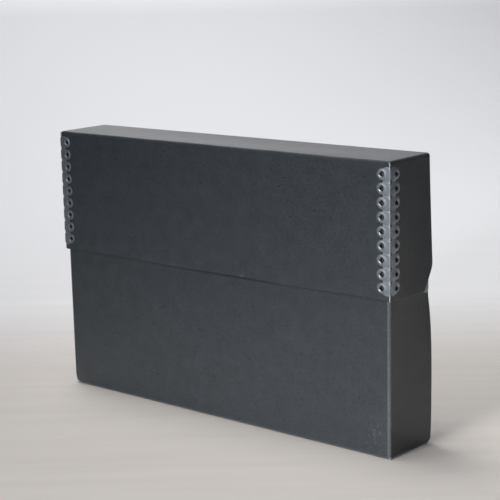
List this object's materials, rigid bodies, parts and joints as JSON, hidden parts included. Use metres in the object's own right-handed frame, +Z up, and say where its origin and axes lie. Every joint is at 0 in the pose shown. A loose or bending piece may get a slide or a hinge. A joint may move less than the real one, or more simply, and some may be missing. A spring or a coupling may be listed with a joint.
{
  "type": "document case",
  "caption": "Slim upright archival document case of creased grey board with metal corner stays and a flip-top lid hinged along its top rear edge.",
  "frame": {"origin": "middle of the box's underside, on the surface it stands on", "axes": "+X along the front, to the right as one faces it; +Y from the front to the back; +Z up"},
  "size_m": [0.3944, 0.0624, 0.2603],
  "materials": {
    "board": "solid archive board, mottled slate-grey paper face on a white core",
    "stay_metal": "stamped tinplate, satin"
  },
  "bodies": {
    "case": {"front_panel": "board", "left_end_panel": "board", "right_end_panel": "board", "bottom_panel": "board", "back_panel": "board", "case_left_stay": "stay_metal", "case_right_stay": "stay_metal"},
    "lid": {"lid_top_panel": "board", "lid_front_flap": "board", "lid_left_end_flap": "board", "lid_right_end_flap": "board", "lid_left_stay": "stay_metal", "lid_right_stay": "stay_metal"}
  },
  "joints": [
    {"name": "lid_hinge", "type": "hinge", "parent": "case", "child": "lid", "pos_m": [0, 0.03075, 0.26035], "axis": [-1, 0, 0], "range_deg": [0, 265]}
  ]
}
